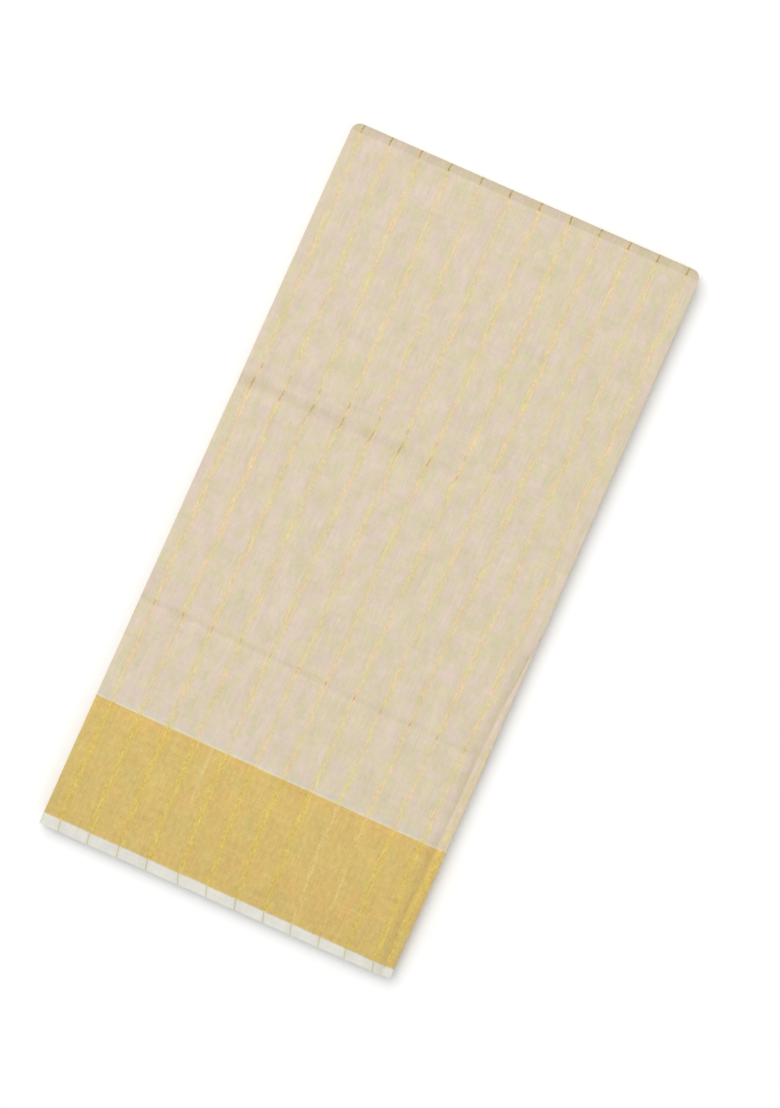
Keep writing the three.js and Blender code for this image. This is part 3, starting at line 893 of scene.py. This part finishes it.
class SAREE_OT_outer_cloth(bpy.types.Operator):
    """Adds the outer panel, all round the bundle, down to its first fold at the left"""

    bl_idname = "saree.outer_cloth"
    bl_label = "Outer Cloth"

    def execute(self, context):
        cloth = context.scene.saree_cloth
        bundle = Bundle(cloth)
        edge = 10 * MM / PANEL_WIDTH
        shares = np.concatenate([
            np.linspace(0, edge, 8), np.linspace(edge, 1 - edge, 92)[1:-1], np.linspace(1 - edge, 1, 8)
        ])
        run = panel_run(1, 2, 0.0, PAST_FOLD, shares, 8)
        gold, white = cloth.border_width, cloth.selvedge_width
        body = CLOTH_WIDTH - 2 * (white + gold)
        add_shown(bundle, run, (
            ("outer_body", "body", ["upper_body", "fold_end", "under_body"], body, None),
            ("outer_border_upper", "border_upper", ["upper_border"], gold, None),
            ("outer_border_under", "border_under", ["under_border"], gold, None),
            ("outer_selvedge_upper", "selvedge_upper", ["upper_selvedge"], white, None),
            ("outer_selvedge_under", "selvedge_under", ["under_selvedge"], white, None),
        ), context)
        return {"FINISHED"}


class SAREE_OT_next_fold(bpy.types.Operator):
    """Adds the next fold down, which shows along the right side past the free end"""

    bl_idname = "saree.next_fold"
    bl_label = "Next Fold"

    def execute(self, context):
        cloth = context.scene.saree_cloth
        bundle = Bundle(cloth)
        inner_half = np.linspace(0, PAST_FOLD, 14)
        shares = np.concatenate([inner_half, np.linspace(NEXT_BEGINS, 0.94, 9), np.linspace(0.945, 1, 18)])
        run = panel_run(2, 3, NEXT_BEGINS, PAST_FOLD, shares, 8)
        start = cloth.selvedge_width + cloth.border_width
        white = cloth.selvedge_width - cloth.selvedge_slant
        add_shown(bundle, run, (
            ("next_fold_body", "body", ["next_body"], NEXT_STOP - start, NEXT_STOP),
            ("next_fold_border", "border_upper", ["next_border"], cloth.border_width, None),
            ("next_fold_selvedge", "selvedge_upper", ["next_selvedge"], white, None),
        ), context)
        return {"FINISHED"}


class SAREE_OT_inner_folds(bpy.types.Operator):
    """Adds all the panels inside the bundle, as one zigzag sheet"""

    bl_idname = "saree.inner_folds"
    bl_label = "Inner Folds"

    def execute(self, context):
        cloth = context.scene.saree_cloth
        bundle = Bundle(cloth)
        shares = np.array([0, 0.008, 0.03, 0.3, 0.7, 0.97, 0.992, 1])
        begin = PAST_FOLD + STRIP_GAP
        runs = [
            panel_run(3, cloth.panels, begin, 1.0, shares, 6),
            panel_run(2, 2, begin, NEXT_BEGINS - STRIP_GAP, shares, 6),
        ]
        side_run = panel_run(2, 3, NEXT_BEGINS, PAST_FOLD, shares, 6)
        body = CLOTH_WIDTH - 2 * (cloth.selvedge_width + cloth.border_width)
        whole = [(run, "", None) for run in runs] + [(side_run, "", NEXT_STOP)]
        ends = [(run, end, None) for run in runs for end in ("_upper", "_under")]
        ends.insert(0, (side_run, "_under", None))
        for kind, slot, parts, wide, step in (
            ("body", "cotton", whole, body, 8 * MM),
            ("border", "gold_border", ends, 2 * cloth.border_width, 8 * MM),
            ("selvedge", "white_selvedge", ends, 2 * cloth.selvedge_width, 8 * MM / 3),
        ):
            strips = [
                folded_strip(bundle, run, kind + end, start=start, step=step) for run, end, start in parts
            ]
            name = "inner_folds_" + kind
            add_cloth(name, strips, slot, ["hidden_panels"], context)
        return {"FINISHED"}


class SAREE_OT_stage(bpy.types.Operator):
    """Adds a pale floor, soft light and a camera straight above"""

    bl_idname = "saree.stage"
    bl_label = "Stage"

    def execute(self, context):
        stage = context.scene.saree_stage
        self.add_floor(context, stage)
        self.add_lights(context, stage)
        self.add_camera(context, stage)
        context.scene.view_settings.view_transform = "Standard"
        return {"FINISHED"}

    def add_floor(self, context, stage):
        """A level square, with a plain pale material."""
        side = np.linspace(-stage.floor_size / 2, stage.floor_size / 2, 3)
        x, y = np.meshgrid(side, side)
        grid = np.arange(x.size).reshape(x.shape)
        points = np.stack([x, y, 0 * x - 0.05 * MM], axis=-1).reshape(-1, 3)
        mesh = bpy.data.meshes.new("floor")
        mesh.from_pydata(points.tolist(), [], grid_quads(grid).tolist())
        material = bpy.data.materials.new("pale_floor")
        material.use_nodes = True
        shader = material.node_tree.nodes["Principled BSDF"]
        shader.inputs["Base Color"].default_value = (*stage.floor, 1.0)
        shader.inputs["Roughness"].default_value = 0.9
        shader.inputs["Specular IOR Level"].default_value = 0.1
        mesh.materials.append(material)
        floor = bpy.data.objects.new("floor", mesh)
        context.scene.collection.objects.link(floor)

    def add_lights(self, context, stage):
        """A wide main light from the upper left of the picture, a weaker one opposite, and an even sky."""
        world = bpy.data.worlds.new("sky")
        world.use_nodes = True
        background = world.node_tree.nodes["Background"]
        background.inputs["Color"].default_value = (1.0, 1.0, 1.0, 1.0)
        background.inputs["Strength"].default_value = stage.sky
        context.scene.world = world
        for name, spot, size, share in (
            ("main_light", (-1.57, 1.39, 4.53), 4.2, 1.0),
            ("fill_light", (2.1, -1.57, 4.2), 3.0, 0.16),
        ):
            light = bpy.data.lights.new(name, "AREA")
            light.shape = "SQUARE"
            light.size = size
            light.energy = stage.light * share
            lamp = bpy.data.objects.new(name, light)
            lamp.location = spot
            aim = -np.array(spot)
            lamp.rotation_euler = (
                math.acos(-aim[2] / np.linalg.norm(aim)), 0.0, math.atan2(aim[1], aim[0]) - math.pi / 2
            )
            context.scene.collection.objects.link(lamp)

    def add_camera(self, context, stage):
        """A camera that looks straight down, turned by the bundle's lean, as far off as makes a pixel its
        real size at half the bundle's height."""
        camera = bpy.data.cameras.new("camera")
        camera.lens = stage.focal_length
        camera.sensor_width = 36.0
        camera.sensor_fit = "AUTO"
        distance = PHOTO_PIXEL * PHOTO_SIZE[1] * camera.lens / camera.sensor_width
        right = np.array([math.cos(PHOTO_LEAN), math.sin(PHOTO_LEAN)])
        up = np.array([-math.sin(PHOTO_LEAN), math.cos(PHOTO_LEAN)])
        off_right = PHOTO_BUNDLE_CENTRE[0] - PHOTO_SIZE[0] / 2
        off_up = PHOTO_SIZE[1] / 2 - PHOTO_BUNDLE_CENTRE[1]
        spot = -PHOTO_PIXEL * (off_right * right + off_up * up)
        eye = bpy.data.objects.new("camera", camera)
        eye.location = (spot[0], spot[1], distance + FOLD_RADIUS)
        eye.rotation_euler = (0.0, 0.0, PHOTO_LEAN)
        context.scene.collection.objects.link(eye)
        context.scene.camera = eye


class SAREE_PT_panel(bpy.types.Panel):
    """Lists the steps and their sizes"""

    bl_idname = "SAREE_PT_panel"
    bl_label = "Folded Saree"
    bl_space_type = "VIEW_3D"
    bl_region_type = "UI"
    bl_category = "Saree"

    def draw(self, context):
        for group in (context.scene.saree_cloth, context.scene.saree_colours, context.scene.saree_stage):
            box = self.layout.box()
            for name in group.__annotations__:
                box.prop(group, name)
        for operator in OPERATORS:
            self.layout.operator(operator.bl_idname)


OPERATORS = (SAREE_OT_stage, SAREE_OT_outer_cloth, SAREE_OT_next_fold, SAREE_OT_inner_folds)
GROUPS = {"saree_cloth": ClothSettings, "saree_colours": ColourSettings, "saree_stage": StageSettings}


def register():
    for item in (*GROUPS.values(), *OPERATORS, SAREE_PT_panel):
        bpy.utils.register_class(item)
    for name, group in GROUPS.items():
        setattr(bpy.types.Scene, name, bpy.props.PointerProperty(type=group))


def unregister():
    for name in GROUPS:
        delattr(bpy.types.Scene, name)
    for item in reversed((*GROUPS.values(), *OPERATORS, SAREE_PT_panel)):
        bpy.utils.unregister_class(item)


def main():
    register()
    for operator in OPERATORS:
        group, name = operator.bl_idname.split(".")
        getattr(getattr(bpy.ops, group), name)()


if __name__ == "__main__":
    main()
